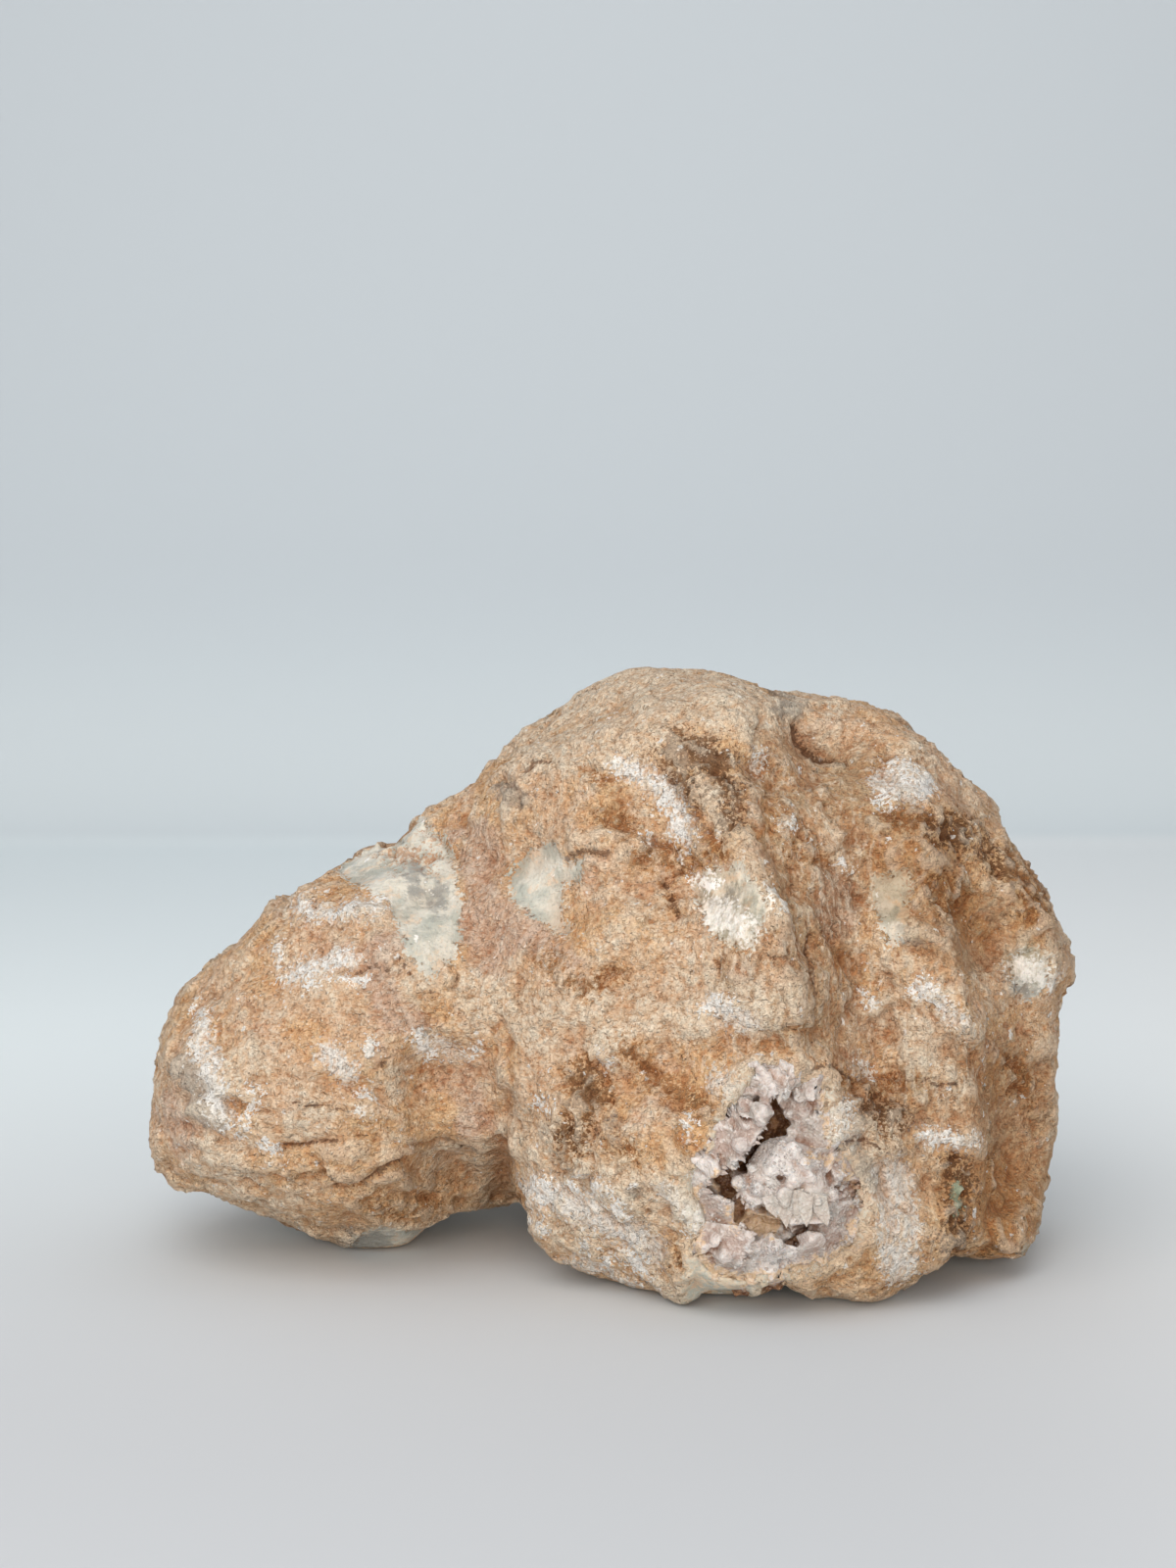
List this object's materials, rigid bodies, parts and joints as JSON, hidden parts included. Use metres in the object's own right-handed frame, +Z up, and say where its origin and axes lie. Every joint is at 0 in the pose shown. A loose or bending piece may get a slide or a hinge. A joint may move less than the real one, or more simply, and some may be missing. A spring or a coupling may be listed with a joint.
{
  "type": "rough quartz stone with crystal pocket",
  "caption": "Rough natural quartz stone with a clay and iron stained crust and a small pocket of milky quartz crystals low on its front, resting on its own feet.",
  "frame": {"origin": "centre of the footprint, on the surface that the stone rests on", "axes": "+X along the stone's longest side, to the right of a person who faces the crystal pocket; -Y towards that person; +Z up"},
  "size_m": [0.1404, 0.091, 0.0867],
  "materials": {
    "stained_quartz_rock": "rough, matt, gritty quartz crust with tan clay, rust stains and pale bare quartz windows",
    "milky_quartz_crystals": "milky, slightly pink, translucent small quartz crystals with glossy faces"
  },
  "bodies": {
    "root": {"stone": "stained_quartz_rock", "crystal_crust": "milky_quartz_crystals"}
  },
  "joints": []
}
